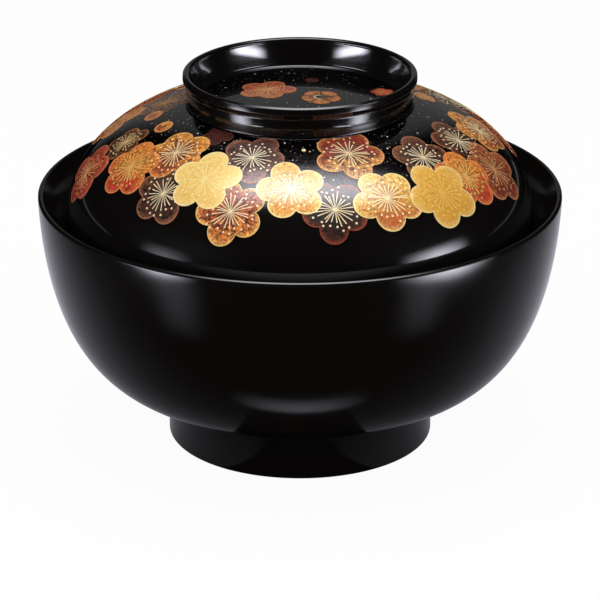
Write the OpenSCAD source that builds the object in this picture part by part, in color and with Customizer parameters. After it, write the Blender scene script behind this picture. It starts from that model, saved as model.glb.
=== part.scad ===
// Lidded soup bowl in black lacquer. A deep bowl stands on a foot ring. A domed lid drops
// inside its rim, rests on the flare below the lip, and carries a ring of its own, which is
// the handle of the lid and its foot when the lid is laid upside down.
// Both pieces are turned, so each is one closed outline spun about the vertical axis.

/* [Bowl] */
// Diameter of the bowl over its rim
rim_d = 140; // [134:1:150]
// Height of the rim above the table
rim_h = 69.2; // [66:0.2:74]
// Thickness of the rounded lip
lip_t = 1.5; // [1:0.1:2]
// Thickness of the bowl's side near the floor
bowl_wall = 5; // [4:0.1:5.6]
// Thickness of the bowl's floor in the middle
floor_t = 6; // [5:0.1:7]

/* [Foot] */
// Diameter of the foot ring
foot_d = 71.6; // [66:0.2:76]
// Height of the foot ring up to the bowl's underside
foot_h = 14.3; // [13:0.1:16]
// Thickness of the foot ring where it stands
foot_wall = 3.6; // [3:0.1:4.4]
// Depth of the recess inside the foot ring
foot_recess = 10.5; // [8:0.1:11.5]
// Radius of the worn edges of the foot ring
foot_round = 0.8; // [0.4:0.1:1.2]

/* [Lid] */
// How far inside the rim the lid's edge lies, on each side
lid_inset = 8.3; // [7:0.1:11]
// Height of the dome from the lid's edge to the root of its ring
dome_h = 33.8; // [30:0.2:38]
// Thickness of the lid's shell, and of its rounded edge
lid_wall = 3; // [2.4:0.1:3.4]
// Thickness of the lid inside its ring
crown_t = 3.2; // [2.6:0.1:3.8]

/* [Lid ring] */
// Diameter of the lid's ring over its lip
ring_d = 62.3; // [58:0.1:66]
// Height of the ring above the dome
ring_h = 8.6; // [7:0.1:11]
// Thickness of the ring's rounded lip
ring_lip_t = 2; // [1.6:0.1:2.6]
// How far the ring's wall draws in below its lip
ring_neck = 1.2; // [0.8:0.1:1.8]
// How far the ring thickens inside, from its lip down to its floor
ring_taper = 1.6; // [1:0.1:2.2]
// How high the ring's floor lies above the root of the ring
ring_floor_rise = 1.2; // [0.8:0.1:1.8]
// How much the ring's floor swells towards the middle
ring_floor_swell = 0.8; // [0.4:0.1:1.2]

/* [Fit] */
// How far the lid's edge sits below the bowl's rim
lid_drop = 9.6; // [8:0.2:12]
// Clearance between the lid's edge and the flare that carries it
seat_gap = 0.3; // [0.2:0.05:0.5]
// How much narrower than the lid's edge the throat below the flare is, on each side
seat_step = 0.7; // [0.5:0.1:1]

/* [Hidden] */
$fn = 120;

// Points along one curve, and along one small rounding
curve_steps = 24;
round_steps = 8;

// Degrees in half a turn
half_turn = 180;

// Small roundings of the bowl
throat_round = 3;
foot_root_round = 0.8;
recess_round = 2;
recess_draft = 0.6;

// Small roundings of the lid
ring_root_round = 0.8;
ring_floor_round = 0.8;

// Radii
rim_r = rim_d / 2;
foot_r = foot_d / 2;
lid_r = rim_r - lid_inset;
ring_r = ring_d / 2;
lip_r = lip_t / 2;
edge_r = lid_wall / 2;
ring_lip_r = ring_lip_t / 2;

// Heights above the table
lip_z = rim_h - lip_r;
edge_z = rim_h - lid_drop;
dome_start_z = edge_z + edge_r;
root_z = edge_z + dome_h;
top_z = root_z + ring_h;
ring_lip_z = top_z - ring_lip_r;
ring_floor_z = root_z + ring_floor_rise;
ring_floor_mid_z = ring_floor_z + ring_floor_swell;
crown_under_z = ring_floor_mid_z - crown_t;
bowl_floor_z = foot_recess + floor_t;

// The belly: shares of the reach from foot to rim, and of the rise from foot to lip
belly_reach_share = 0.69;
belly_rise_share = 0.01;
shoulder_reach_share = 0.97;
shoulder_rise_share = 0.46;

// The inside of the bowl: where the side meets the floor, as a share along the belly, and
// how long the handles of its two curves are, as shares of the lengths they bend over
floor_turn_share = 0.3;
side_top_share = 0.44;
side_foot_share = 0.38;
floor_out_share = 0.85;
floor_flat_share = 0.6;

// The dome: shares of the reach from ring to edge, and of the rise from edge to ring
shoulder_swell_share = 0.09;
shoulder_up_share = 0.49;
crown_reach_share = 0.58;
crown_drop_share = 0.13;

// The inside of the lid, as for the bowl's floor
crown_out_share = 0.6;
crown_flat_share = 0.5;

// The outside of the ring: an upright wall, drawn in a little at its root, that flares to the
// lip. Shares of the drawing in, of the rise from the root to the lip, and of each curve
flare_in_share = 0.67;
flare_start_share = 0.64;
flare_bend_share = 0.36;
wall_bend_share = 0.36;
wall_lean_share = 0.5;

// The floor inside the ring: where its swell leaves the level, as shares of its radius
swell_flat_share = 0.5;
swell_edge_share = 0.8;

function unit(v) = v / norm(v);
function left(v) = [-v[1], v[0]];
function cubic(p, t) =
    pow(1 - t, 3) * p[0] + 3 * pow(1 - t, 2) * t * p[1]
    + 3 * (1 - t) * pow(t, 2) * p[2] + pow(t, 3) * p[3];
function cubic_way(p, t) = unit(
    pow(1 - t, 2) * (p[1] - p[0]) + 2 * (1 - t) * t * (p[2] - p[1])
    + pow(t, 2) * (p[3] - p[2]));
function curve(p, from = 0, to = 1) =
    [for (i = [0:curve_steps]) cubic(p, from + (to - from) * i / curve_steps)];
function beside_curve(p, d, from = 0, to = 1) =
    [for (i = [0:curve_steps]) let (t = from + (to - from) * i / curve_steps)
        cubic(p, t) + d * left(cubic_way(p, t))];
function arc(centre, r, from, to) =
    [for (i = [0:round_steps]) let (a = from + (to - from) * i / round_steps)
        centre + r * [cos(a), sin(a)]];
function way_angle(v) = atan2(v[1], v[0]);

// A corner at b, between a and c, rounded with radius r
function rounded(a, b, c, r) =
    let (to_a = unit(a - b), to_c = unit(c - b),
        half = acos(to_a * to_c) / 2,
        middle = b + r / sin(half) * unit(to_a + to_c),
        first = b + r / tan(half) * to_a,
        last = b + r / tan(half) * to_c,
        start = way_angle(first - middle),
        turn = way_angle(last - middle) - start,
        short = turn > half_turn ? turn - 2 * half_turn
            : turn < -half_turn ? turn + 2 * half_turn : turn)
    arc(middle, r, start, start + short);

// A curve from p, leaving along way, that ends level on the axis at height z
function to_axis(p, way, z, out_share, flat_share) =
    let (meet = p + way * (z - p[1]) / way[1])
    curve([p, p + out_share * (meet - p), [flat_share * meet[0], z], [0, z]]);

// Outside of the bowl, from the foot ring to the lip
belly_reach = rim_r - foot_r;
belly_rise = lip_z - foot_h;
belly = [
    [foot_r, foot_h],
    [foot_r + belly_reach_share * belly_reach, foot_h + belly_rise_share * belly_rise],
    [foot_r + shoulder_reach_share * belly_reach, foot_h + shoulder_rise_share * belly_rise],
    [rim_r, lip_z]];

// Outside of the lid, from its edge to the root of the ring
neck_r = ring_r - ring_neck;
dome_reach = lid_r - neck_r;
dome_rise = root_z - dome_start_z;
dome = [
    [lid_r, dome_start_z],
    [lid_r + shoulder_swell_share * dome_reach, dome_start_z + shoulder_up_share * dome_rise],
    [neck_r + crown_reach_share * dome_reach, root_z - crown_drop_share * dome_rise],
    [neck_r, root_z]];

// The flare is the straight line that touches the lip's rounding on one side and passes
// the lid's rounded edge at the clearance on the other
edge_centre = dome[0] + edge_r * left(cubic_way(dome, 0));
lip_centre = [rim_r - lip_r, lip_z];
across = lip_centre - edge_centre;
flare_angle = way_angle(across) + asin((lip_r + edge_r + seat_gap) / norm(across));
flare_way = [cos(flare_angle), sin(flare_angle)];
flare_top = lip_centre + lip_r * left(flare_way);
throat_r = lid_r - seat_step;
throat = flare_top - flare_way * (flare_top[0] - throat_r) / flare_way[0];

// Inside of the bowl: the side curves from the upright throat to the floor
side_end = cubic(belly, floor_turn_share)
    + bowl_wall * left(cubic_way(belly, floor_turn_share));
side_end_way = cubic_way(belly, floor_turn_share);
side_fall = throat[1] - side_end[1];
side_start = throat - [0, throat_round];
side = [
    side_start,
    side_start - [0, side_top_share * side_fall],
    side_end + side_foot_share * side_fall * side_end_way,
    side_end];

module bowl_outline() {
    recess_foot_r = foot_r - foot_wall;
    recess_top_r = recess_foot_r - recess_draft;
    polygon(concat(
        [[0, foot_recess]],
        rounded([0, foot_recess], [recess_top_r, foot_recess], [recess_foot_r, 0],
            recess_round),
        rounded([recess_top_r, foot_recess], [recess_foot_r, 0], [foot_r, 0], foot_round),
        rounded([recess_foot_r, 0], [foot_r, 0], [foot_r, foot_h], foot_round),
        rounded([foot_r, 0], [foot_r, foot_h], belly[1], foot_root_round),
        [for (p = curve(belly)) if (p[0] > foot_r + foot_root_round) p],
        arc(lip_centre, lip_r, 0, flare_angle + half_turn / 2),
        rounded(flare_top, throat, side_start, throat_round),
        curve(side),
        to_axis(side_end, -side_end_way, bowl_floor_z, floor_out_share, floor_flat_share)
    ));
}

module lid_outline() {
    ring_in_r = ring_r - ring_lip_t;
    ring_floor_r = ring_in_r - ring_taper;
    swell_r = ring_floor_r - 2 * ring_floor_round;
    swell = [
        [0, ring_floor_mid_z],
        [swell_flat_share * swell_r, ring_floor_mid_z],
        [swell_edge_share * swell_r, ring_floor_z],
        [swell_r, ring_floor_z]];
    wall_r = ring_r - flare_in_share * ring_neck;
    wall_rise = flare_start_share * (ring_lip_z - root_z);
    wall_z = root_z + wall_rise;
    flare_bend = flare_bend_share * (ring_lip_z - wall_z);
    flare = [
        [ring_r, ring_lip_z],
        [ring_r, ring_lip_z - flare_bend],
        [wall_r, wall_z + flare_bend],
        [wall_r, wall_z]];
    ring_wall = [
        [wall_r, wall_z],
        [wall_r, wall_z - wall_bend_share * wall_rise],
        [neck_r + wall_lean_share * (wall_r - neck_r), root_z + wall_bend_share * wall_rise],
        [neck_r, root_z]];
    crown_way = cubic_way(dome, 1);
    edge_start = way_angle(dome[0] - edge_centre);
    polygon(concat(
        curve(swell),
        rounded(swell[3], [ring_floor_r, ring_floor_z], [ring_in_r, ring_lip_z],
            ring_floor_round),
        arc([ring_r - ring_lip_r, ring_lip_z], ring_lip_r, half_turn, 0),
        curve(flare),
        [for (p = curve(ring_wall)) if (p[1] > root_z + ring_root_round) p],
        rounded(ring_wall[2], ring_wall[3], dome[2], ring_root_round),
        [for (p = curve(dome, 1, 0)) if (p[0] > neck_r + ring_root_round) p],
        arc(edge_centre, edge_r, edge_start, edge_start - half_turn),
        beside_curve(dome, lid_wall),
        to_axis(dome[3] + lid_wall * left(crown_way), crown_way, crown_under_z,
            crown_out_share, crown_flat_share)
    ));
}

module bowl() {
    color("#16130f") rotate_extrude() bowl_outline();
}

module lid() {
    color("#16130f") rotate_extrude() lid_outline();
}

bowl();
lid();
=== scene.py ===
import math

import bpy
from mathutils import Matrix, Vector


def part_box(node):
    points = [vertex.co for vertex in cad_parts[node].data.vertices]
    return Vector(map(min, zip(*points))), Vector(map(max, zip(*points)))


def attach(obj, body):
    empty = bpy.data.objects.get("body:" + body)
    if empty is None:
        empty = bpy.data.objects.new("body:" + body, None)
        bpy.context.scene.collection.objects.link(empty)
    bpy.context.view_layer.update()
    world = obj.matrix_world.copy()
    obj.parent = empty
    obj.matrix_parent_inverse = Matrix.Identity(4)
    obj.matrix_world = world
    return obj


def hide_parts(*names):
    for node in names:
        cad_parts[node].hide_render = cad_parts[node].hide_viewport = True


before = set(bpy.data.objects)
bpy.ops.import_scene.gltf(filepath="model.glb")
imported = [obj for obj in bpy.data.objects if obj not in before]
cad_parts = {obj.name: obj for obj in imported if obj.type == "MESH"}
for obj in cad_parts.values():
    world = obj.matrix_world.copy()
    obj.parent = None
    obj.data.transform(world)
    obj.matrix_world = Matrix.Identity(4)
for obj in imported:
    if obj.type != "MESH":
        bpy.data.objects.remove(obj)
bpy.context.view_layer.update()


# Bowl. Turned from one block of wood, sealed, and coated with black lacquer that is rubbed to a
# soft sheen. It stands on a foot ring cut from the same block, and its wall rises to a thin
# rounded lip, with a flare inside that carries the lid.
mm = 0.001
bowl_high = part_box("bowl")[1]
rim_r = bowl_high.x
rim_h = bowl_high.z
lip_r = 0.75 * mm
bowl_wall = 5 * mm
floor_t = 6 * mm
foot_r = 35.8 * mm
foot_h = 14.3 * mm
foot_wall = 3.6 * mm
foot_recess = 10.5 * mm
foot_round = 0.8 * mm
recess_draft = 0.6 * mm
recess_round = 2 * mm
throat_round = 3 * mm
lid_drop = 9.6 * mm
lid_inset = 8.3 * mm
lid_wall = 3 * mm
seat_gap = 0.3 * mm
seat_step = 0.7 * mm
steps_round = 256
weld_gap = 0.001 * mm


def left(way):
    """The way turned by a quarter to the left."""
    return Vector((-way.y, way.x))


def point_on(p, t):
    """A point on the curve that four points bend."""
    u = 1 - t
    return u**3 * p[0] + 3 * u * u * t * p[1] + 3 * u * t * t * p[2] + t**3 * p[3]


def way_on(p, t):
    """The way that the curve runs at that point."""
    u = 1 - t
    return (u * u * (p[1] - p[0]) + 2 * u * t * (p[2] - p[1]) + t * t * (p[3] - p[2])).normalized()


def bend(p, steps, start=0, end=1, beside=0):
    """Points along a curve, or beside it, that lie closer together near its ends."""
    shares = [(1 - math.cos(math.pi * i / steps)) / 2 for i in range(steps + 1)]
    ts = [start + (end - start) * share for share in shares]
    return [point_on(p, t) + beside * left(way_on(p, t)) for t in ts]


def arc(centre, r, start, end, steps=12):
    turns = [start + (end - start) * i / steps for i in range(steps + 1)]
    return [centre + r * Vector((math.cos(a), math.sin(a))) for a in turns]


def rounded(a, b, c, r):
    """The corner b between a and c, rounded, with a short straight run on either side."""
    to_a = (a - b).normalized()
    to_c = (c - b).normalized()
    half = math.acos(to_a.dot(to_c)) / 2
    middle = b + r / math.sin(half) * (to_a + to_c).normalized()
    first = b + r / math.tan(half) * to_a
    last = b + r / math.tan(half) * to_c
    start = math.atan2(first.y - middle.y, first.x - middle.x)
    turn = math.atan2(last.y - middle.y, last.x - middle.x) - start
    turn = math.remainder(turn, math.tau)
    run = 0.1 * r
    return [first + run * to_a, *arc(middle, r, start, start + turn), last + run * to_c]


def to_axis(p, way, height, out, flat):
    """A curve from p, leaving along way, that ends level on the axis."""
    meet = p + way * (height - p.y) / way.y
    bent = [p, p + out * (meet - p), Vector((flat * meet.x, height)), Vector((0, height))]
    return bend(bent, 24)


def rubbed_flat(before, after):
    """Points on the flat that rubbing leaves between two stretches of a lip's rounding."""
    return [before[-1].lerp(after[0], share) for share in (0.08, 0.5, 0.92)]


lip_middle = Vector((rim_r - lip_r, rim_h - lip_r))
belly_reach = rim_r - foot_r
belly_rise = lip_middle.y - foot_h
belly = [
    Vector((foot_r, foot_h)),
    Vector((foot_r + 0.69 * belly_reach, foot_h + 0.01 * belly_rise)),
    Vector((foot_r + 0.97 * belly_reach, foot_h + 0.46 * belly_rise)),
    Vector((rim_r, lip_middle.y)),
]

# The flare touches the lip's rounding and passes the lid's rounded edge at the clearance.
lid_r = rim_r - lid_inset
lid_edge_r = lid_wall / 2
lid_edge_middle = Vector((lid_r - lid_edge_r, rim_h - lid_drop + lid_edge_r))
across = lip_middle - lid_edge_middle
flare_turn = math.atan2(across.y, across.x)
flare_turn += math.asin((lip_r + lid_edge_r + seat_gap) / across.length)
flare_way = Vector((math.cos(flare_turn), math.sin(flare_turn)))
flare_top = lip_middle + lip_r * left(flare_way)
throat = flare_top - flare_way * (flare_top.x - (lid_r - seat_step)) / flare_way.x

side_way = way_on(belly, 0.3)
side_end = point_on(belly, 0.3) + bowl_wall * left(side_way)
side_fall = throat.y - side_end.y
side_start = throat - Vector((0, throat_round))
side = [
    side_start,
    side_start - Vector((0, 0.44 * side_fall)),
    side_end + 0.38 * side_fall * side_way,
    side_end,
]

# The lip's outer shoulder is rubbed a little flat, which draws the bright line along the rim.
rubbed_from = math.radians(43)
rubbed_to = math.radians(79)
lip_outside = arc(lip_middle, lip_r, 0, rubbed_from)
lip_inside = arc(lip_middle, lip_r, rubbed_to, flare_turn + math.pi / 2)
recess_middle = Vector((0, foot_recess))
recess_top = Vector((foot_r - foot_wall - recess_draft, foot_recess))
recess_foot = Vector((foot_r - foot_wall, 0))
foot_edge = Vector((foot_r, 0))
bowl_outline = [
    recess_middle,
    *rounded(recess_middle, recess_top, recess_foot, recess_round),
    *rounded(recess_top, recess_foot, foot_edge, foot_round),
    *rounded(recess_foot, foot_edge, belly[0], foot_round),
    *rounded(foot_edge, belly[0], belly[1], foot_round),
    *[p for p in bend(belly, 56) if p.x > foot_r + 1.1 * foot_round],
    *lip_outside[1:],
    *rubbed_flat(lip_outside, lip_inside),
    *lip_inside,
    *rounded(flare_top, throat, side_start, throat_round)[1:],
    *bend(side, 32)[1:],
    *to_axis(side_end, -side_way, foot_recess + floor_t, 0.85, 0.6)[1:],
]


class Flow:
    """A number or a vector on its way through a node tree, reckoned with the usual signs."""

    def __init__(self, tree, socket):
        self.tree = tree
        self.socket = socket

    def by(self, operation, *others):
        vector = self.socket.type == "VECTOR"
        kind = "ShaderNodeVectorMath" if vector else "ShaderNodeMath"
        node = step(self.tree, kind, dict(enumerate((self, *others))), operation=operation)
        return Flow(self.tree, node.outputs[0])

    def __add__(self, other):
        return self.by("ADD", other)

    def __sub__(self, other):
        return self.by("SUBTRACT", other)

    def __mul__(self, other):
        if self.socket.type != "VECTOR":
            return self.by("MULTIPLY", other)
        node = step(self.tree, "ShaderNodeVectorMath", {0: self, "Scale": other}, operation="SCALE")
        return Flow(self.tree, node.outputs[0])

    def __truediv__(self, other):
        return self.by("DIVIDE", other)

    def ramp(self, low, high, from_value=0, to_value=1):
        """Turns smoothly from one value to another while the flow goes from low to high."""
        limits = {"Value": self, "From Min": low, "From Max": high}
        values = {"To Min": from_value, "To Max": to_value}
        node = step(self.tree, "ShaderNodeMapRange", limits | values,
                    interpolation_type="SMOOTHSTEP")
        return Flow(self.tree, node.outputs["Result"])

    def parts(self):
        node = step(self.tree, "ShaderNodeSeparateXYZ", {0: self})
        return [Flow(self.tree, out) for out in node.outputs]


def step(tree, kind, inputs=None, **settings):
    """Adds one node to a tree, sets it, and fills or joins its inputs."""
    node = tree.nodes.new(kind)
    for name, value in settings.items():
        setattr(node, name, value)
    for name, value in (inputs or {}).items():
        value = value.socket if isinstance(value, Flow) else value
        if isinstance(value, bpy.types.NodeSocket):
            tree.links.new(value, node.inputs[name])
        else:
            node.inputs[name].default_value = value
    return node


def new_tree(name, inputs):
    """An empty geometry tree with named inputs, and its first and last nodes."""
    tree = bpy.data.node_groups.new(name, "GeometryNodeTree")
    for label, kind in {"Geometry": "Geometry", **inputs}.items():
        tree.interface.new_socket(label, in_out="INPUT", socket_type="NodeSocket" + kind)
    tree.interface.new_socket("Geometry", in_out="OUTPUT", socket_type="NodeSocketGeometry")
    return tree, step(tree, "NodeGroupInput").outputs, step(tree, "NodeGroupOutput").inputs


def read(tree, name, kind="FLOAT"):
    """What a geometry tree finds under a name at each point."""
    node = step(tree, "GeometryNodeInputNamedAttribute", {"Name": name}, data_type=kind)
    return Flow(tree, node.outputs[0])


def keep(tree, mesh, name, value, kind="FLOAT"):
    """The mesh with a value kept under a name at each point."""
    node = step(tree, "GeometryNodeStoreNamedAttribute",
                {"Geometry": mesh, "Name": name, "Value": value}, data_type=kind)
    return node.outputs[0]


def welded(tree, mesh):
    """The mesh with its doubled points made one, shaded smooth."""
    mesh = step(tree, "GeometryNodeMergeByDistance", {0: mesh, "Distance": weld_gap})
    return step(tree, "GeometryNodeSetShadeSmooth", {0: mesh.outputs[0]}).outputs[0]


def finished(tree, mesh, given, result):
    """Gives the mesh its finish and hands it out of the tree."""
    node = step(tree, "GeometryNodeSetMaterial", {0: mesh, "Material": given["Finish"]})
    tree.links.new(node.outputs[0], result[0])


def hand_in(name, data):
    """A new object in the scene that shows a mesh, or holds a lamp or a camera."""
    piece = bpy.data.objects.new(name, data)
    bpy.context.scene.collection.objects.link(piece)
    return piece


def grown(name, start, tree, values):
    """The start mesh with the tree applied, as a plain mesh that has no modifier."""
    seedling = hand_in(name + "_start", start)
    modifier = seedling.modifiers.new(tree.name, "NODES")
    modifier.node_group = tree
    for item in tree.interface.items_tree:
        if item.in_out == "INPUT" and item.name in values:
            modifier[item.identifier] = values[item.name]
    graph = bpy.context.evaluated_depsgraph_get()
    mesh = bpy.data.meshes.new_from_object(seedling.evaluated_get(graph), depsgraph=graph)
    bpy.data.objects.remove(seedling)
    mesh.name = name
    return hand_in(name, mesh)


def lathe_tree():
    """Spins an outline about the vertical axis. The outline's own shares of powder go along."""
    tree, given, result = new_tree("lathe", {"Steps round": "Int", "Finish": "Material"})
    count = step(tree, "GeometryNodeAttributeDomainSize", {0: given["Geometry"]})
    rows = Flow(tree, count.outputs["Point Count"])
    steps = Flow(tree, given["Steps round"])
    grid = step(tree, "GeometryNodeMeshGrid", {"Vertices X": steps + 1, "Vertices Y": rows})
    index = Flow(tree, step(tree, "GeometryNodeInputIndex").outputs[0])
    column = (index / rows).by("FLOOR")
    row = index - column * rows
    along = {"Geometry": given["Geometry"], "Index": row}
    place = step(tree, "GeometryNodeInputPosition").outputs[0]
    spot = step(tree, "GeometryNodeSampleIndex", along | {"Value": place},
                data_type="FLOAT_VECTOR")
    powder = step(tree, "GeometryNodeSampleIndex", along | {"Value": read(tree, "powder")})
    r, _, height = Flow(tree, spot.outputs[0]).parts()
    turn = column * math.tau / steps
    place = step(tree, "ShaderNodeCombineXYZ",
                 {0: r * turn.by("COSINE"), 1: r * turn.by("SINE"), 2: height})
    mesh = keep(tree, grid.outputs[0], "powder", powder.outputs[0])
    mesh = step(tree, "GeometryNodeSetPosition", {0: mesh, "Position": place.outputs[0]})
    finished(tree, welded(tree, mesh.outputs[0]), given, result)
    return tree


def spun(name, outline, finish=None, powder=None):
    """A piece off the lathe, from an outline that runs round its section to the left."""
    start = bpy.data.meshes.new(name)
    start.from_pydata([(p.x, 0, p.y) for p in outline], [], [])
    shares = start.attributes.new("powder", "FLOAT", "POINT")
    shares.data.foreach_set("value", powder or [0.0] * len(outline))
    return grown(name, start, lathe, {"Steps round": steps_round, "Finish": finish})


def shader(name):
    """A new finish: its node tree and its main shader's node."""
    finish = bpy.data.materials.new(name)
    finish.use_nodes = True
    return finish, finish.node_tree, finish.node_tree.nodes["Principled BSDF"]


def noise(tree, scale, detail=2.0):
    """Cloudy values from 0 to 1, a given number of clouds to the metre, fixed to the piece."""
    spots = step(tree, "ShaderNodeTexCoord").outputs["Object"]
    node = step(tree, "ShaderNodeTexNoise", {"Vector": spots, "Scale": scale, "Detail": detail})
    return Flow(tree, node.outputs["Fac"])


lathe = lathe_tree()

# Rubbed lacquer: not quite a mirror, with long faint waves and hair-fine rubbing marks.
rubbed_lacquer, tree, coat = shader("rubbed_lacquer")
coat.inputs["Base Color"].default_value = (0.0045, 0.0035, 0.003, 1)
coat.inputs["IOR"].default_value = 1.53
waves = noise(tree, 45)
marks = noise(tree, 1400, 4)
haze = waves * 0.04 + marks * 0.03 + 0.09
tree.links.new(haze.socket, coat.inputs["Roughness"])
bump = step(tree, "ShaderNodeBump",
            {"Height": waves, "Distance": 0.03 * mm, "Strength": 0.3})
tree.links.new(bump.outputs[0], coat.inputs["Normal"])

bowl = spun("bowl_turned", bowl_outline, rubbed_lacquer)
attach(bowl, "bowl")
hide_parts("bowl")


# Lid. Turned as thin as the bowl and polished to a mirror. Its edge rests on the flare inside
# the rim. The ring on top is cut from the same piece: it is the handle, and the foot of the lid
# when the lid lies upside down. Gold dust is sprinkled in the last coat round the ring.
lid_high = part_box("lid")[1]
crown_t = 3.2 * mm
ring_r = 31.15 * mm
ring_h = 8.6 * mm
ring_lip_r = 1 * mm
ring_neck = 1.2 * mm
ring_taper = 1.6 * mm
ring_floor_rise = 1.2 * mm
ring_floor_swell = 0.8 * mm
ring_root_round = 0.8 * mm
ring_bulge = 0.0825 * mm
band_bulge = 0.0175 * mm
band_draft = 0.11 * mm
band_fall = 0.8 * mm

root_h = lid_high.z - ring_h
neck_r = ring_r - ring_neck
dome_reach = lid_r - neck_r
dome_rise = root_h - lid_edge_middle.y
dome = [
    Vector((lid_r, lid_edge_middle.y)),
    Vector((lid_r + 0.09 * dome_reach, lid_edge_middle.y + 0.49 * dome_rise)),
    Vector((neck_r + 0.58 * dome_reach, root_h - 0.13 * dome_rise)),
    Vector((neck_r, root_h)),
]
ring_floor_h = root_h + ring_floor_rise
ring_mid_h = ring_floor_h + ring_floor_swell
ring_lip_middle = Vector((ring_r - ring_lip_r, lid_high.z - ring_lip_r))
ring_in_r = ring_r - 2 * ring_lip_r
ring_floor_r = ring_in_r - ring_taper
swell_r = ring_floor_r - 2 * ring_root_round
swell = [
    Vector((0, ring_mid_h)),
    Vector((0.5 * swell_r, ring_mid_h)),
    Vector((0.8 * swell_r, ring_floor_h)),
    Vector((swell_r, ring_floor_h)),
]
ring_wall_r = ring_r - 0.67 * ring_neck
ring_wall_rise = 0.64 * (ring_lip_middle.y - root_h)
ring_wall_h = root_h + ring_wall_rise
flare_bend = 0.36 * (ring_lip_middle.y - ring_wall_h)

# The ring's lip is rubbed a little flat too, on its shoulder and in an upright band below it.
shoulder_from = math.radians(80)
shoulder_to = math.radians(40)
band_from = math.radians(33)
ring_lip_top = arc(ring_lip_middle, ring_lip_r, math.pi, shoulder_from)
ring_lip_front = arc(ring_lip_middle, ring_lip_r, shoulder_to, band_from, 2)
band_foot = Vector((ring_r - band_draft, ring_lip_middle.y - band_fall))
ring_flare = [
    band_foot,
    band_foot - Vector((0, 0.4 * flare_bend)),
    Vector((ring_wall_r, ring_wall_h + flare_bend)),
    Vector((ring_wall_r, ring_wall_h)),
]
ring_wall = [
    Vector((ring_wall_r, ring_wall_h)),
    Vector((ring_wall_r, ring_wall_h - 0.36 * ring_wall_rise)),
    Vector(((ring_wall_r + neck_r) / 2, root_h + 0.36 * ring_wall_rise)),
    Vector((neck_r, root_h)),
]


def bulged(start, end, bulge, shares):
    """Points between two others, pushed outwards, and most of all halfway."""
    push = Vector((4 * bulge, 0))
    return [start.lerp(end, share) + push * share * (1 - share) for share in shares]


edge_way = way_on(dome, 0)
edge_middle = dome[0] + lid_edge_r * left(edge_way)
edge_turn = math.atan2(dome[0].y - edge_middle.y, dome[0].x - edge_middle.x)
crown_way = way_on(dome, 1)
crown_end = dome[3] + lid_wall * left(crown_way)
dome_run = [p for p in bend(dome, 48, 1, 0) if p.x > neck_r + 1.1 * ring_root_round]
wall_run = [p for p in bend(ring_wall, 20) if p.y > root_h + 1.1 * ring_root_round]
wall_foot = Vector((ring_floor_r, ring_floor_h))
wall_top = Vector((ring_in_r, ring_lip_middle.y))
top_outline = [
    *bend(swell, 24),
    *rounded(swell[3], wall_foot, wall_top, ring_root_round),
    *bulged(wall_foot, wall_top, -ring_bulge, (0.3, 0.4, 0.5, 0.6, 0.7, 0.8, 0.9, 0.97)),
    *ring_lip_top,
    *rubbed_flat(ring_lip_top, ring_lip_front),
    *ring_lip_front,
    *bulged(ring_lip_front[-1], band_foot, band_bulge, (0.06, 0.2, 0.4, 0.6, 0.8, 0.94)),
    *bend(ring_flare, 16),
    *wall_run[1:],
    *rounded(ring_wall[2], ring_wall[3], dome[2], ring_root_round),
    *dome_run,
]
under_outline = [
    *arc(edge_middle, lid_edge_r, edge_turn, edge_turn - math.pi)[1:],
    *bend(dome, 48, beside=lid_wall)[1:],
    *to_axis(crown_end, crown_way, ring_mid_h - crown_t, 0.6, 0.5)[1:],
]


def dust_share(p):
    """How thick the gold dust lies: all over the ring's floor, thinning out down the dome."""
    if p.x < swell_r + 0.5 * ring_root_round:
        return 0.9
    if p.x < neck_r or p.y > root_h + 0.3 * ring_root_round:
        return 0
    return max(0, 1 - (p.x - neck_r) / (0.62 * dome_reach))


def mixed(tree, share, one, other):
    """One tone, turning to the other as the share goes from 0 to 1."""
    node = step(tree, "ShaderNodeMix", {"Factor": share, 6: one, 7: other}, data_type="RGBA")
    return node.outputs[2]


def number_of(tree, name):
    """What a shader finds under a name at each point, as a number."""
    return Flow(tree, step(tree, "ShaderNodeAttribute", attribute_name=name).outputs["Fac"])


dust = [dust_share(p) for p in top_outline] + [0.0] * len(under_outline)

# Polished lacquer: black under a clear coat as smooth as glass. The dust is flat metal flakes
# too fine to be pieces of their own: it glints where it mirrors something bright.
polished_lacquer, tree, coat = shader("polished_lacquer")
share = number_of(tree, "powder")
fine = noise(tree, 2500, 3).ramp(0.4, 0.66, 0, 2.3)
clouds = noise(tree, 240, 3).ramp(0.3, 0.7, 0.7, 1.15)
speck = (share * fine * clouds).by("MINIMUM", 1)
black = (0.004, 0.0033, 0.003, 1)
dusty = (0.095, 0.08, 0.086, 1)
tree.links.new(mixed(tree, speck, black, dusty), coat.inputs["Base Color"])
tree.links.new(share.ramp(0, 0.25).socket, coat.inputs["Metallic"])
coat.inputs["Roughness"].default_value = 0.2
coat.inputs["Specular IOR Level"].default_value = 0.15
coat.inputs["Coat Weight"].default_value = 1
coat.inputs["Coat Roughness"].default_value = 0.03
coat.inputs["Coat IOR"].default_value = 1.55

lid_outline = [*top_outline, *under_outline]
lid = spun("lid_turned", lid_outline[::-1], polished_lacquer, dust[::-1])
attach(lid, "lid")
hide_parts("lid")


# Painted blossoms. Plum blossoms laid on the lid in sprinkled gold and coloured powder, each a
# sheet of five round petals a few hundredths of a millimetre thick. A fine line runs round the
# petals, and stamens with round heads are drawn from the middle. A clear coat covers them all.
petal_count = 5
stamen_count = 22
sheet_t = 0.03 * mm
line_w = 0.3 * mm
line_t = 0.02 * mm

# A petal's end is a round, whose middle and radius are shares of the blossom's size.
lobe_middle = 0.585
lobe_r = 0.415

# A sheet is pressed straight on from above, and its edges sharper than this stay sharp.
press_from = 12 * mm
press_reach = 40 * mm
sharp_from = 0.6

# Each blossom's own number, from which its chances are drawn, is this far from the next one's.
numbers_apart = 40


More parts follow.
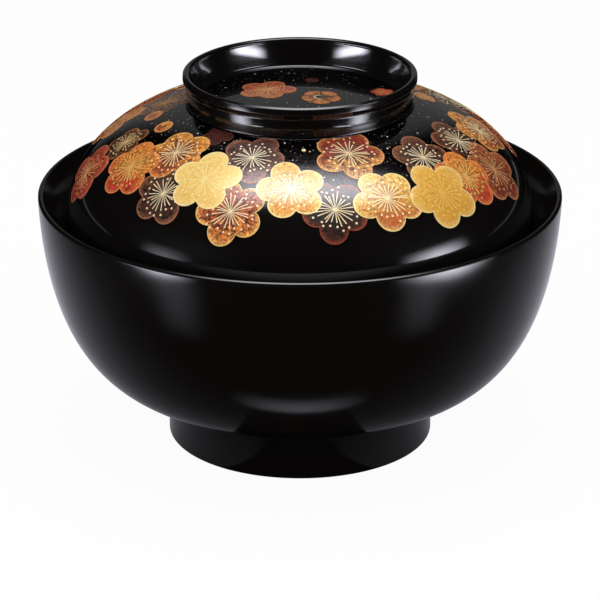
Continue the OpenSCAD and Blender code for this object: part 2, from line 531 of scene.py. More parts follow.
def srgb(red, green, blue):
    """A colour as it is seen, 0 to 255, in the strengths that a shader takes."""
    shares = [c / 255 for c in (red, green, blue)]
    return (*[s / 12.92 if s < 0.04 else ((s + 0.055) / 1.055) ** 2.4 for s in shares], 1)


# Powders: heart, petals, petals that point down the lid, line round them, stamens, and how
# unevenly the powder is sprinkled.
powders = {
    "gold": [(232, 190, 100), (240, 204, 118), (236, 194, 106), (252, 230, 164), (250, 226, 152), 0.2],
    "old gold": [(216, 156, 52), (226, 172, 72), (214, 156, 56), (246, 216, 142), (240, 196, 96), 0.25],
    "amber": [(190, 124, 52), (224, 174, 80), (190, 94, 44), (250, 220, 142), (254, 238, 186), 0.7],
    "honey": [(206, 138, 62), (226, 168, 80), (220, 150, 62), (252, 222, 150), (252, 234, 190), 0.8],
    "orange": [(112, 54, 28), (208, 134, 54), (172, 80, 40), (234, 170, 84), (250, 228, 176), 1.1],
    "flame": [(184, 124, 52), (208, 122, 50), (180, 56, 36), (232, 140, 74), (238, 184, 106), 1],
    "red": [(128, 56, 38), (168, 68, 44), (164, 52, 38), (214, 112, 74), (230, 164, 96), 1],
    "russet": [(100, 30, 17), (168, 84, 40), (192, 112, 46), (240, 196, 112), (252, 228, 184), 1.2],
    "dusk": [(84, 42, 26), (138, 44, 24), (190, 136, 68), (226, 162, 90), (250, 226, 176), 1.1],
    "ember": [(14, 7, 4), (54, 26, 15), (56, 26, 16), (150, 66, 44), (252, 230, 186), 1.4],
    "umber": [(18, 12, 9), (86, 50, 32), (62, 34, 22), (164, 106, 68), (248, 226, 184), 1.4],
    "rust": [(112, 60, 36), (154, 84, 48), (114, 44, 28), (200, 128, 80), (216, 158, 102), 1.1],
    # In the plum powder the petals that point down the lid are lighter and greyer than the rest: a
    # painted reflection of the light.
    "plum": [(44, 26, 26), (84, 50, 42), (110, 76, 66), (160, 104, 72), (252, 238, 204), 1.1],
    "bronze": [(150, 86, 40), (204, 124, 56), (190, 112, 52), (214, 148, 84), (220, 166, 96), 1],
    "tawny": [(24, 14, 9), (96, 54, 30), (64, 36, 22), (156, 98, 58), (228, 190, 132), 1.4],
    # The next powder is red darkened as painted shade, for the blossom that the ring shades at its root
    # and the bud at the back of the ring's floor.
    "red_in_painted_shade": [(14, 6, 5), (56, 19, 14), (44, 14, 11), (104, 42, 31), (84, 36, 26), 1.5],
    "scarlet": [(96, 24, 16), (162, 48, 32), (150, 42, 28), (190, 78, 50), (214, 124, 76), 1.3],
    "smoke": [(44, 28, 20), (84, 54, 36), (84, 54, 36), (140, 98, 64), (190, 140, 78), 1.4],
    "copper": [(150, 84, 44), (158, 60, 38), (180, 104, 54), (204, 128, 78), (220, 160, 100), 1],
    "walnut": [(44, 24, 14), (190, 116, 50), (190, 116, 50), (166, 98, 46), (222, 194, 150), 0.8],
}

# Where they are: degrees round the lid from the front, millimetres down from the ring's root,
# millimetres from the middle to the petals' ends, degrees that the first petal is turned,
# powder, and how many layers lie under it.
blossoms = [
    (-30.6, 19.1, 9.6, -24, "gold", 5),
    (42.9, 26.4, 9.9, 38, "old gold", 5),
    (25.4, 24.2, 9.5, 28, "amber", 4),
    (-2.9, 19.5, 9.2, 39, "honey", 4),
    (-48.6, 13.4, 9.4, 14, "orange", 3),
    (-59.8, 23.0, 9.2, 30, "flame", 4),
    (55.2, 24.8, 9.3, 70, "flame", 4),
    (-78.4, 32.2, 9.0, 28, "red", 3),
    (-18.9, 27.2, 9.2, 30, "russet", 3),
    (19.6, 7.6, 9.4, 14, "dusk", 2),
    (9.6, 25.8, 9.0, 27, "ember", 2),
    (-41.0, 26.0, 8.8, 49, "umber", 2),
    (-75.0, 18.8, 6.6, 0, "tawny", 2),
    (46.4, 14.7, 8.6, 0, "umber", 2),
    (68.8, 15.4, 8.5, 0, "umber", 1),
    (-18.5, 9.1, 9.0, 0, "plum", 1),
    (86.4, 18.8, 9.0, 0, "orange", 3),
    (69.3, 27.6, 9.8, 0, "rust", 2),
    (-101.0, 22.0, 9.5, 0, "bronze", 2),
    (-98.0, 6.4, 8.0, 0, "smoke", 1),
    (104.0, 4.4, 3.6, 0, "bronze", 1),
    # Red in painted shade, beside the ring's root.
    (-40.0, 2.6, 4.4, 0, "red_in_painted_shade", 0),
    (102.0, 28.0, 9.2, 10, "red", 1),
    (118.0, 25.6, 9.5, 12, "gold", 5),
    (134.5, 25.0, 9.1, 44, "flame", 4),
    (150.0, 27.4, 9.0, 66, "umber", 2),
    (170.0, 25.2, 9.5, 30, "amber", 4),
    (189.0, 27.8, 9.2, 8, "russet", 3),
    (209.0, 24.4, 9.7, 50, "old gold", 5),
    (230.0, 27.0, 9.2, 24, "flame", 4),
    (246.0, 29.6, 8.8, 60, "umber", 1),
    (112.0, 13.6, 8.6, 20, "umber", 2),
    (130.0, 11.2, 9.0, 5, "orange", 3),
    (149.0, 16.2, 9.4, 34, "gold", 5),
    (167.0, 11.4, 9.0, 62, "orange", 1),
    (187.0, 16.8, 9.0, 18, "plum", 1),
    (205.0, 10.6, 9.2, 40, "dusk", 2),
    (227.0, 14.8, 9.4, 0, "amber", 4),
    (244.0, 17.6, 8.8, 26, "red", 3),
    (151.0, 3.4, 6.0, 10, "umber", 1),
    (187.0, 4.6, 6.4, 30, "smoke", 1),
    (224.0, 3.2, 5.4, 16, "red", 0),
]

# Buds: the same powders in plain rounds.
buds = [
    (-85.6, 9.3, 2.6, 0, "bronze", 1),
    (-70.0, 8.4, 2.6, 0, "orange", 1),
    (118.0, 4.2, 2.4, 0, "bronze", 1),
    (238.0, 7.0, 2.6, 0, "orange", 1),
    (247.0, 4.6, 2.2, 0, "umber", 1),
    (1.6, 5.0, 0.5, 0, "gold", 0),
]

# On the floor inside the ring, by the same measures from its middle.
ring_blossoms = [
    (-120.0, 10.1, 7.7, 75, "copper", 2),
    (73.3, 5.8, 5.3, 90, "walnut", 1),
    (102.0, 22.4, 3.1, 40, "scarlet", 1),
]
ring_buds = [
    # Red in painted shade, at the back of the ring's floor.
    (166.7, 14.0, 1.7, 0, "red_in_painted_shade", 1),
]


up = Vector((0, 0, 1))


def facing(turn):
    """The ways out from the axis and across, at degrees round from the front."""
    a = math.radians(turn)
    return Vector((math.sin(a), -math.cos(a), 0)), Vector((math.cos(a), math.sin(a), 0))


def stand(turn, down):
    """A spot on the dome, and the ways across, down and out from the surface there."""
    steps = 200
    run = [point_on(dome, 1 - i / steps) for i in range(steps + 1)]
    walked = 0
    for here, there in zip(run, run[1:]):
        length = (there - here).length
        if walked + length >= down * mm:
            break
        walked += length
    way = (there - here).normalized()
    spot = here + way * (down * mm - walked)
    outward, across = facing(turn)
    middle = outward * spot.x + up * spot.y
    return middle, across, outward * way.x + up * way.y, up * way.x - outward * way.y


def stand_in_ring(turn, out):
    """The same for the floor inside the ring, where down is towards the front."""
    outward, _ = facing(turn)
    return outward * out * mm + up * ring_mid_h, Vector((1, 0, 0)), Vector((0, -1, 0)), up


def places_mesh(family):
    """One point for each blossom of the powders in a family, with all that the trees read."""
    rows = []
    groups = ((0, 0, blossoms), (0, 1, buds), (1, 0, ring_blossoms), (1, 1, ring_buds))
    for on_floor, plain, group in groups:
        for turn, down, size, twist, powder, layer in group:
            if powder not in family:
                continue
            spot, across, downward, out = (stand_in_ring if on_floor else stand)(turn, down)
            row = {"middle": spot, "across": across, "downward": downward, "out": out}
            seamed = powder == "walnut"
            row |= {"size": size * mm, "twist": math.radians(twist), "seamed": seamed}
            row |= {"plain": max(plain, 0.5 * seamed), "on_floor": on_floor, "layer": layer}
            row |= {"number": len(rows) * numbers_apart + down, "mottling": powders[powder][5]}
            tones = ("heart", "petal", "lower", "line", "stamen")
            row |= dict(zip(tones, (srgb(*tone) for tone in powders[powder][:5])))
            row["stem"] = row["heart" if seamed else "stamen"]
            rows.append(row)
    mesh = bpy.data.meshes.new("places")
    mesh.from_pydata([row["middle"] for row in rows], [], [])
    kinds = {3: ("FLOAT_VECTOR", "vector"), 4: ("FLOAT_COLOR", "color")}
    for name, first in rows[0].items():
        kind, field = kinds[len(first)] if hasattr(first, "__len__") else ("FLOAT", "value")
        store = mesh.attributes.new(name, kind, "POINT")
        for item, row in zip(store.data, rows):
            setattr(item, field, row[name])
    return mesh


def slab(name, corners, sides, rows):
    """A closed unit shape for the trees, from rows of points and how many sides go round."""
    mesh = bpy.data.meshes.new(name)
    faces = []
    for j in range(rows - 1):
        for i in range(sides):
            k = (i + 1) % sides
            faces.append((j * sides + i, j * sides + k, (j + 1) * sides + k, (j + 1) * sides + i))
    mesh.from_pydata(corners, [], faces)
    return mesh


def round_slab(name, sides, rings):
    """A closed round unit shape, from rings of points that each have a radius and a height."""
    corners = []
    for r, top in rings:
        for i in range(sides):
            a = math.tau * i / sides
            corners.append((r * math.cos(a), r * math.sin(a), top))
    return hand_in(name, slab(name, corners, sides, len(rings)))


def rod(name, steps):
    """A bar along X from 0 to 1, square to its ends, that the stamens' stems are made from."""
    section = [(-0.5, 0), (-0.5, 1), (0.5, 1), (0.5, 0)]
    xs = [0, 0] + [i / steps for i in range(1, steps)] + [1, 1]
    corners = []
    for n, x in enumerate(xs):
        tight = 0 if n in (0, len(xs) - 1) else 1
        for y, top in section:
            corners.append((x, y * tight, 0.5 + (top - 0.5) * tight))
    return hand_in(name, slab(name, corners, 4, len(xs)))


def chance(tree, low, high, number, seed):
    """A fixed random number for each value of number."""
    node = step(tree, "FunctionNodeRandomValue",
                {2: low, 3: high, "ID": number, "Seed": seed}, data_type="FLOAT")
    return Flow(tree, node.outputs[1])


def repeated(tree, points, shape):
    """The unit shape set down at every point, with its own corners kept as an attribute."""
    unit = step(tree, "GeometryNodeObjectInfo", {"Object": shape}).outputs["Geometry"]
    corner = step(tree, "GeometryNodeInputPosition").outputs[0]
    unit = keep(tree, unit, "corner", corner, "FLOAT_VECTOR")
    copies = step(tree, "GeometryNodeInstanceOnPoints", {"Points": points, "Instance": unit})
    return step(tree, "GeometryNodeRealizeInstances", {0: copies.outputs[0]}).outputs[0]


def laid(tree, given, mesh, across, downward, lift):
    """Moves each point across and down the lid from its blossom's middle, presses it straight
    onto the surface, and lifts it by its own height."""
    middle = read(tree, "middle", "FLOAT_VECTOR")
    out = read(tree, "out", "FLOAT_VECTOR")
    flat = middle + read(tree, "across", "FLOAT_VECTOR") * across
    flat = flat + read(tree, "downward", "FLOAT_VECTOR") * downward
    hits = []
    for ground in ("Dome", "Ring floor"):
        target = step(tree, "GeometryNodeObjectInfo", {"Object": given[ground]})
        hit = step(tree, "GeometryNodeRaycast",
                   {"Target Geometry": target.outputs["Geometry"], "Ray Length": press_reach,
                    "Source Position": flat + out * press_from, "Ray Direction": out * -1})
        hits.append(Flow(tree, hit.outputs["Hit Position"]) + out * lift)
    place = step(tree, "GeometryNodeSwitch",
                 {0: read(tree, "on_floor"), 1: hits[0], 2: hits[1]}, input_type="VECTOR")
    mesh = step(tree, "GeometryNodeSetPosition", {0: mesh, "Position": place.outputs[0]})
    angle = Flow(tree, step(tree, "GeometryNodeInputMeshEdgeAngle").outputs["Unsigned Angle"])
    edges = angle.by("GREATER_THAN", sharp_from)
    mesh = step(tree, "GeometryNodeSetShadeSmooth",
                {0: welded(tree, mesh.outputs[0]), "Selection": edges, "Shade Smooth": False},
                domain="EDGE")
    return mesh.outputs[0]


def in_petals(turn):
    """An angle counted in petals, and the petal that it lies in."""
    petals_round = turn * (petal_count / math.tau)
    return petals_round, (petals_round + 0.5).by("FLOOR")


def petal_edge(tree, turn):
    """How far the petals reach at an angle, as a share of the blossom's size: five round lobes,
    each a little longer or shorter than the next, or one plain round for a bud."""
    _, lobe = in_petals(turn)
    off = turn - lobe * (math.tau / petal_count)
    reach = off.by("COSINE") * lobe_middle
    side = off.by("SINE") * lobe_middle
    round_edge = reach + (side * side * -1 + lobe_r**2).by("SQRT")
    which = lobe.by("FLOORED_MODULO", petal_count) + read(tree, "number")
    longer = chance(tree, -0.06, 0.05, which, 3)
    weight = (off / (math.pi / petal_count)).by("POWER", 2) * -1 + 1
    edge = round_edge * (longer * weight + 1)
    return edge + (edge * -1 + 1) * read(tree, "plain")


def sheet_tree():
    """Petal sheets: a unit disc at each place, drawn out to the petals' edge."""
    tree, given, result = new_tree("petal_sheets", {
        "Dome": "Object", "Ring floor": "Object", "Unit disc": "Object",
        "Sheet thickness": "Float", "Finish": "Material"})
    mesh = repeated(tree, given["Geometry"], given["Unit disc"])
    x, y, top = read(tree, "corner", "FLOAT_VECTOR").parts()
    share = (x * x + y * y).by("SQRT")
    turn = y.by("ARCTAN2", x)
    whole_turn = turn + read(tree, "twist")
    reach = petal_edge(tree, turn) * share
    petals_round, lobe = in_petals(turn)
    notch = (petals_round - lobe).by("ABSOLUTE") * 2
    mesh = keep(tree, mesh, "share", share)
    mesh = keep(tree, mesh, "notch", notch * (read(tree, "plain") * -1 + 1))
    mesh = keep(tree, mesh, "fall", reach * whole_turn.by("SINE"))
    size = read(tree, "size")
    layers = read(tree, "layer") + 1
    lift = (layers * top + top - 1) * Flow(tree, given["Sheet thickness"])
    mesh = laid(tree, given, mesh, reach * size * whole_turn.by("COSINE"),
                reach * size * whole_turn.by("SINE"), lift)
    finished(tree, mesh, given, result)
    return tree


def several(tree, points, count):
    """Each point a number of times over, and the number of each copy."""
    many = step(tree, "GeometryNodeDuplicateElements",
                {"Geometry": points, "Amount": count}, domain="POINT")
    which = Flow(tree, many.outputs["Duplicate Index"])
    return keep(tree, many.outputs["Geometry"], "which", which), which


def line_tree():
    """Line work: the line round the petals, and the stems and heads of the stamens."""
    tree, given, result = new_tree("line_work", {
        "Dome": "Object", "Ring floor": "Object", "Unit band": "Object", "Unit rod": "Object",
        "Unit dot": "Object", "Sheet thickness": "Float", "Line width": "Float",
        "Line thickness": "Float", "Stamens": "Int", "Finish": "Material"})
    size = read(tree, "size")
    twist = read(tree, "twist")
    seamed = read(tree, "seamed")
    width = Flow(tree, given["Line width"])
    thick = Flow(tree, given["Line thickness"])
    stamens = Flow(tree, given["Stamens"])
    sheets = (read(tree, "layer") + 1) * Flow(tree, given["Sheet thickness"])
    x, y, top = read(tree, "corner", "FLOAT_VECTOR").parts()
    line_lift = (sheets + thick) * top - (top * -1 + 1) * thick
    stamen_lift = line_lift + thick * top

    def stroke(mesh, tone, turn, along, aside, lift):
        """A stroke of one tone, drawn at an angle round its blossom's middle."""
        mesh = keep(tree, mesh, "tone", read(tree, tone, "FLOAT_COLOR"), "FLOAT_COLOR")
        cos = turn.by("COSINE")
        sin = turn.by("SINE")
        across = cos * along - sin * aside
        return laid(tree, given, mesh, across, sin * along + cos * aside, lift)

    # The line round the petals, or round a bud
    turn = y.by("ARCTAN2", x)
    inwards = (x * x + y * y).by("SQRT") * -2 + 2
    reach = petal_edge(tree, turn) * size + thick - inwards * width
    mesh = repeated(tree, given["Geometry"], given["Unit band"])
    parts = [stroke(mesh, "line", turn + twist, reach, 0, line_lift)]

    # Stamens: a stem starts thin in the heart and widens on its way out, and its head is round
    head_r = width * 1.05
    count = (read(tree, "plain") * -1 + 1) * stamens
    for tone, shape, nearest, furthest in (
            ("stem", "Unit rod", 0.4, 0.62), ("stamen", "Unit dot", 0.52, 0.76)):
        points, which = several(tree, given["Geometry"], count)
        number = which + read(tree, "number") * 3
        points = keep(tree, points, "far", chance(tree, nearest, furthest, number, 5))
        points = keep(tree, points, "aside", chance(tree, -0.35, 0.35, number, 6))
        mesh = repeated(tree, points, given[shape])
        turn = (read(tree, "which") + read(tree, "aside")) * math.tau / stamens + twist
        far = read(tree, "far") * size * (seamed * -0.5 + 1)
        along = far * (x * 0.98 + 0.02) if tone == "stem" else far + x * head_r
        aside = y * width * (x * 0.7 + 0.28) if tone == "stem" else y * head_r
        parts.append(stroke(mesh, tone, turn, along, aside, stamen_lift))

    # Dark seams between the petals of the one blossom that has them
    points, _ = several(tree, given["Geometry"], seamed * petal_count)
    mesh = repeated(tree, points, given["Unit rod"])
    turn = (read(tree, "which") + 0.5) * (math.tau / petal_count) + twist
    along = size * (x * 0.6 + 0.3)
    parts.append(stroke(mesh, "heart", turn, along, y * width * 1.7, stamen_lift))

    joined = step(tree, "GeometryNodeJoinGeometry")
    for part in parts:
        tree.links.new(part, joined.inputs[0])
    finished(tree, joined.outputs[0], given, result)
    return tree


def coated(tone, tree, coat, rough):
    """Powder of one tone under the clear coat."""
    tree.links.new(tone, coat.inputs["Base Color"])
    coat.inputs["Roughness"].default_value = rough
    coat.inputs["Metallic"].default_value = 0.15
    coat.inputs["Coat Weight"].default_value = 1
    coat.inputs["Coat Roughness"].default_value = 0.035
    coat.inputs["Coat IOR"].default_value = 1.55


def tone_of(tree, name):
    """What a shader finds under a name at each point, as a tone."""
    return step(tree, "ShaderNodeAttribute", attribute_name=name).outputs["Color"]


def scaled(tree, tone, by):
    """A tone made lighter or darker."""
    node = step(tree, "ShaderNodeVectorMath", {0: tone, "Scale": by}, operation="SCALE")
    return node.outputs[0]


# Sprinkled powder: bright towards the petals' edge and thin in the heart, where the ground
# shows through, in patches of a few millimetres and grainy close to.
sprinkled, tree, coat = shader("sprinkled_powder")
share = number_of(tree, "share")
mottling = number_of(tree, "mottling")
patches = noise(tree, 400, 3) - 0.5
clouds = noise(tree, 1100, 3) - 0.5
grain = noise(tree, 2100, 3) - 0.5
turned_down = (number_of(tree, "fall") + patches * 1.2).ramp(0, 0.55)
petal = mixed(tree, turned_down, tone_of(tree, "petal"), tone_of(tree, "lower"))
heart_out = (share + (patches * 1.9 + clouds * 1.6 + grain * 0.8) * mottling).ramp(0.15, 0.85)
tone = mixed(tree, heart_out, tone_of(tree, "heart"), petal)
tone = mixed(tree, share.ramp(0.8, 1, 0, 0.45), tone, tone_of(tree, "line"))
parted = number_of(tree, "notch").ramp(0.72, 1, 0, 0.5) * share.ramp(0.3, 0.75)
tone = mixed(tree, parted, tone, tone_of(tree, "heart"))
grained = (clouds * 2 + grain * 3.4) * mottling + 1
coated(scaled(tree, tone, grained), tree, coat, 0.42)

# Drawn lines: thicker lacquer, evenly dusted, with a light glitter.
drawn, tree, coat = shader("drawn_line")
glitter = noise(tree, 5200, 1).ramp(0.3, 0.7, 0.86, 1.1)
coated(scaled(tree, tone_of(tree, "tone"), glitter), tree, coat, 0.38)

# The bare dome and the ring's floor are the grounds that all is pressed onto. The unit shapes
# are a petal sheet, a stamen's round head, the band of the line, and a stem.
dome_ground = spun("dome_ground", [*dome_run[::-1], Vector((neck_r, root_h)), Vector((0, root_h))])
floor_ground = spun("floor_ground", [Vector((ring_r, ring_floor_h)), *bend(swell, 24)[::-1]])
disc_shares = (0, 0.24, 0.46, 0.65, 0.81, 0.93, 1)
unit_disc = round_slab("unit_disc", 80, [(share, 1) for share in disc_shares] + [(1, 0), (0, 0)])
unit_dot = round_slab("unit_dot", 8, [(0, 1), (1, 1), (1, 0), (0, 0)])
unit_band = round_slab("unit_band", 80, [(0.5, 0), (0.5, 1), (1, 1), (1, 0), (0.5, 0)])
unit_rod = rod("unit_rod", 3)
sheets = sheet_tree()
lines = line_tree()
shared = {"Dome": dome_ground, "Ring floor": floor_ground, "Sheet thickness": sheet_t}
for_sheets = {**shared, "Unit disc": unit_disc, "Finish": sprinkled}
for_lines = {**shared, "Unit band": unit_band, "Unit rod": unit_rod, "Unit dot": unit_dot,
             "Line width": line_w, "Line thickness": line_t, "Stamens": stamen_count,
             "Finish": drawn}

# One piece of each kind for each family of powders
families = {
    "gold": ("gold", "old gold", "amber", "honey"),
    "orange": ("orange", "flame", "walnut"),
    "red": ("red", "russet", "rust", "dusk", "copper", "scarlet"),
    "dark": ("ember", "umber", "smoke", "plum", "bronze", "tawny", "red_in_painted_shade"),
}
for family, members in families.items():
    petals = grown("petals_" + family, places_mesh(members), sheets, for_sheets)
    drawing = grown("lines_" + family, places_mesh(members), lines, for_lines)
    for piece in (petals, drawing):
        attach(piece, "lid")


# Flecks. Small flakes of gold and silver foil, strewn by hand on the wet lacquer round the ring
# and on the floor inside it, thinning out down the dome. They lie flat under the same clear coat.
flake_t = 0.012 * mm
smallest_flake = 0.08 * mm
largest_flake = 0.3 * mm
mm2_in_m2 = 1e6


def fleck_tree():
    """Flakes strewn over a ground, thickest at one radius and gone at another."""
    tree, given, result = new_tree("flecks", {
        "Flakes per mm2": "Float", "Thick to": "Float", "Gone at": "Float",
        "Unit flake": "Object", "Smallest": "Float", "Larger by": "Float",
        "Thickness": "Float", "Seed": "Int", "Finish": "Material"})
    x, y, _ = Flow(tree, step(tree, "GeometryNodeInputPosition").outputs[0]).parts()
    r = (x * x + y * y).by("SQRT")
    thin = r.ramp(Flow(tree, given["Thick to"]), Flow(tree, given["Gone at"]), 1, 0)
    density = thin * Flow(tree, given["Flakes per mm2"]) * mm2_in_m2
    strewn = step(tree, "GeometryNodeDistributePointsOnFaces",
                  {"Mesh": given["Geometry"], "Density": density, "Seed": given["Seed"]})
    number = Flow(tree, step(tree, "GeometryNodeInputIndex").outputs[0])
    points = keep(tree, strewn.outputs["Points"], "shine", chance(tree, 0, 1, number, 11))
    luck = chance(tree, 0, 1, number, 12).by("POWER", 5)
    size = luck * Flow(tree, given["Larger by"]) + Flow(tree, given["Smallest"])
    scale = step(tree, "ShaderNodeCombineXYZ", {0: size, 1: size, 2: given["Thickness"]})
    unit = step(tree, "GeometryNodeObjectInfo", {"Object": given["Unit flake"]})
    flakes = step(tree, "GeometryNodeInstanceOnPoints",
                  {"Points": points, "Instance": unit.outputs["Geometry"],
                   "Rotation": strewn.outputs["Rotation"], "Scale": scale.outputs[0]})
    spin = step(tree, "ShaderNodeCombineXYZ", {2: chance(tree, 0, math.tau, number, 13)})
    flakes = step(tree, "GeometryNodeRotateInstances",
                  {"Instances": flakes.outputs[0], "Rotation": spin.outputs[0]})
    mesh = step(tree, "GeometryNodeRealizeInstances", {0: flakes.outputs[0]})
    finished(tree, mesh.outputs[0], given, result)
    return tree


foil, tree, coat = shader("foil_flecks")
shine = number_of(tree, "shine")
tone = mixed(tree, shine.ramp(0.1, 1), srgb(140, 128, 118), srgb(255, 250, 236))
tone = mixed(tree, shine.ramp(0.55, 0.7) * shine.ramp(0.8, 0.7), tone, srgb(232, 190, 104))
coated(tone, tree, coat, 0.34)

# A flake is a broken bit with five uneven corners, half sunk in the lacquer.
bit = [(math.cos(a), 0.8 * math.sin(a)) for a in (0.2, 1.3, 2.7, 3.8, 5.2)]
flake_rings = ((0, 1), (1, 1), (1, -1), (0, -1))
flake_corners = [(share * x, share * y, top) for share, top in flake_rings for x, y in bit]
unit_flake = hand_in("unit_flake", slab("unit_flake", flake_corners, len(bit), len(flake_rings)))
flecks = fleck_tree()
strewing = {"Unit flake": unit_flake, "Thickness": flake_t, "Smallest": smallest_flake,
            "Larger by": largest_flake - smallest_flake, "Finish": foil}
for name, ground, per_mm2, thick_to, gone_at, seed in (
        ("flecks_dome", dome_ground, 0.3, 36 * mm, 54 * mm, 4),
        ("flecks_ring_floor", floor_ground, 0.12, 24 * mm, 25.8 * mm, 9)):
    values = {"Flakes per mm2": per_mm2, "Thick to": thick_to, "Gone at": gone_at, "Seed": seed}
    piece = grown(name, ground.data.copy(), flecks, {**strewing, **values})
    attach(piece, "lid")

# The grounds and the unit shapes have done their work.
for helper in (dome_ground, floor_ground, unit_disc, unit_band, unit_rod, unit_dot, unit_flake):
    bpy.data.objects.remove(helper)


# Floor, backdrop and light. A white table under soft lamps. Cards that only the lacquer mirrors
# stand for a soft light overhead, low ones on either side that the rims and walls catch, grey
# card behind and beside the bowl, and black card on the table before it.
def glow(name, strength, colour=(1, 1, 1), sides=0, near=0, far=0):
    """A card's shine, which fades towards its edges over these shares of its size."""
    finish, tree, plain_shader = shader(name)
    tree.nodes.remove(plain_shader)
    u, v, _ = Flow(tree, step(tree, "ShaderNodeTexCoord").outputs["UV"]).parts()
    shine = strength
    if sides:
        shine = u.ramp(0, sides) * u.ramp(1 - sides, 1, 1, 0) * shine
    if near:
        shine = v.ramp(0, near) * shine
    if far:
        shine = v.ramp(1 - far, 1, 1, 0) * shine
    emission = step(tree, "ShaderNodeEmission", {"Color": (*colour, 1), "Strength": shine})
    tree.links.new(emission.outputs[0], tree.nodes["Material Output"].inputs[0])
    return finish


def card(name, corners, finish):
    """A flat card on the stage: near left, near right, far right, far left, in millimetres."""
    mesh = bpy.data.meshes.new(name)
    mesh.from_pydata([tuple(c * mm for c in corner) for corner in corners], [], [(0, 1, 2, 3)])
    mesh.uv_layers.new(name="UVMap")
    for corner, uv in zip(mesh.uv_layers[0].data, ((0, 0), (1, 0), (1, 1), (0, 1))):
        corner.uv = uv
    mesh.materials.append(finish)
    piece = hand_in(name, mesh)
    return piece


def mirrored_card(name, corners, finish):
    """A card that shows only where the lacquer mirrors it."""
    piece = card(name, corners, finish)
    piece.visible_camera = False
    piece.visible_diffuse = False
    piece.visible_transmission = False
    piece.visible_volume_scatter = False
    piece.visible_shadow = False


def level_card(name, left_x, right_x, near_y, far_y, height, finish):
    """A mirrored card that lies level at a height."""
    corners = [(left_x, near_y), (right_x, near_y), (right_x, far_y), (left_x, far_y)]
    mirrored_card(name, [(x, y, height) for x, y in corners], finish)


def side_card(name, turn, width, near, far, finish):
    """A mirrored card to one side, at degrees round from the front, from a near edge to a far
    one, each a distance out and a height."""
    outward, across = facing(turn)
    half = across * width / 2
    lower = outward * near[0] + up * near[1]
    upper = outward * far[0] + up * far[1]
    mirrored_card(name, (lower - half, lower + half, upper + half, upper - half), finish)


def lamp(name, middle, target, width, height, watts):
    """A soft lamp that lights the object and isn't seen in it. Lengths are in metres."""
    data = bpy.data.lights.new(name, "AREA")
    data.shape = "RECTANGLE"
    data.size = width
    data.size_y = height
    data.energy = watts
    piece = hand_in(name, data)
    piece.location = middle
    piece.rotation_euler = (Vector(target) - Vector(middle)).to_track_quat("-Z", "Y").to_euler()
    piece.visible_glossy = False


table_finish, tree, coat = shader("white_table")
coat.inputs["Base Color"].default_value = (0.82, 0.82, 0.82, 1)
coat.inputs["Roughness"].default_value = 0.7
path = step(tree, "ShaderNodeLightPath")
bright = step(tree, "ShaderNodeEmission", {"Strength": 1.0})
blend = step(tree, "ShaderNodeMixShader",
             {0: Flow(tree, path.outputs["Is Camera Ray"]) * 0.96, 1: coat.outputs[0],
              2: bright.outputs[0]})
tree.links.new(blend.outputs[0], tree.nodes["Material Output"].inputs[0])
card("table", [(-4000, -4000, 0), (4000, -4000, 0), (4000, 4000, 0), (-4000, 4000, 0)], table_finish)

# Cards on the table, each a hair above the one before, then the backdrop and the light overhead
cool = (0.88, 0.88, 1)
black_card = glow("black_card", 0)
level_card("black_card", -1500, 1500, -1500, 1500, 0.3, black_card)
white_card = glow("white_card", 0.95, sides=0.2, near=0.2, far=0.5)
level_card("white_card", -190, 190, 95, 290, 0.5, white_card)
grey_card = glow("grey_card", 0.82, cool, sides=0.5, far=0.83)
for side in (-1, 1):
    corners = [(side * 20, -80), (side * 20, 300), (side * 260, 300), (side * 260, -80)]
    mirrored_card("grey_card", [(x, y, 0.7) for x, y in corners], grey_card)
front_strip = glow("front_strip", 0.85, cool, sides=0.5, near=0.6, far=0.2)
level_card("front_strip", -34, 34, -77.5, -64, 0.9, front_strip)
backdrop = glow("backdrop", 0.125, sides=0.2)
corners = [(-800, -100), (800, -100), (800, 2100), (-800, 2100)]
mirrored_card("backdrop", [(x, 1600, z) for x, z in corners], backdrop)
top_glow = glow("top_glow", 8.1, (0.92, 0.93, 1), sides=0.34, near=0.4, far=0.6)
level_card("top_glow", -450, 520, -220, 370, 900, top_glow)

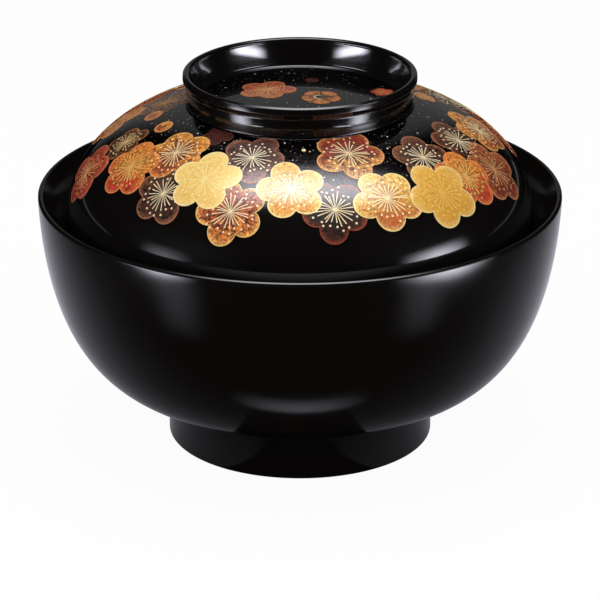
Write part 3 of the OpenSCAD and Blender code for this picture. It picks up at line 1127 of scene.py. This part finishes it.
# Cards on either side. The bowl's belly mirrors the lit cards, its rim the rim glows, the lid's
# lower wall the wall glows, the outside of the ring the low and lip glows, and its inside the
# high glows. Black flags keep the high glows off the lid's lower wall.
lit_card = glow("lit_card", 0.56, cool, sides=0.5, near=1)
low_glow = glow("low_glow", 9, cool, sides=0.5, near=0.1, far=0.7)
lip_glow = glow("lip_glow", 70, cool, sides=0.5, near=1, far=0.12)
high_glow = glow("high_glow", 22, cool, sides=0.35, near=0.3, far=0.5)
rim_glow = glow("rim_glow", 24, cool, sides=0.5, near=1)
side_card("rim_glow_left", -46, 64, (127.9, 35), (128, 45), rim_glow)
side_card("rim_glow_right", 51, 104, (127.8, 32), (128, 44.5), rim_glow)
for name, turn, width, strength in (("left", -60, 130, 1.8), ("right", 61, 170, 10)):
    wall_glow = glow("wall_glow_" + name, strength, cool, sides=0.5, near=0.05, far=0.95)
    side_card("wall_glow_" + name, turn, width, (241, 66), (241.5, 125), wall_glow)
for name, side in (("left", -1), ("right", 1)):
    side_card("lit_card_" + name, side * 41.47, 54, (127, -14), (127.5, 35), lit_card)
    side_card("low_glow_" + name, side * 58, 108, (207, 1), (240, 66), low_glow)
    side_card("lip_glow_" + name, side * 58, 100, (224, 28), (236, 56), lip_glow)
    side_card("high_glow_" + name, side * 58, 800, (900, 215), (900, 330), high_glow)
    side_card("flag_" + name, side * 58, 420, (246, 60), (246, 130), black_card)

lamp("top_lamp", (0, -0.1, 1.1), (0, 0, 0.05), 0.9, 0.7, 8.4)
lamp("left_lamp", (-0.9, -0.6, 0.5), (0, 0, 0.06), 0.5, 0.6, 3.6)
lamp("right_lamp", (0.9, -0.6, 0.5), (0, 0, 0.06), 0.5, 0.6, 3.6)

world = bpy.data.worlds.new("studio")
bpy.context.scene.world = world
world.use_nodes = True
tree = world.node_tree
path = step(tree, "ShaderNodeLightPath")
seen = Flow(tree, path.outputs["Is Camera Ray"])
fill = Flow(tree, path.outputs["Is Diffuse Ray"]) * 0.25
tree.links.new((seen + fill).socket, tree.nodes["Background"].inputs["Strength"])
tree.nodes["Background"].inputs["Color"].default_value = (1, 1, 1, 1)

# Camera, where the photograph was taken from.
camera_back = 869.4 * mm
camera_up = 383.9 * mm
camera_tilt = math.radians(21.753)
focal_px = 3453.4
photo_px = 600
view = bpy.data.cameras.new("camera")
view.sensor_width = 36
view.lens = view.sensor_width * focal_px / photo_px
camera = hand_in("camera", view)
camera.location = (0, -camera_back, camera_up)
camera.rotation_euler = (math.pi / 2 - camera_tilt, 0, 0)
bpy.context.scene.camera = camera
bpy.context.scene.view_settings.view_transform = "Standard"
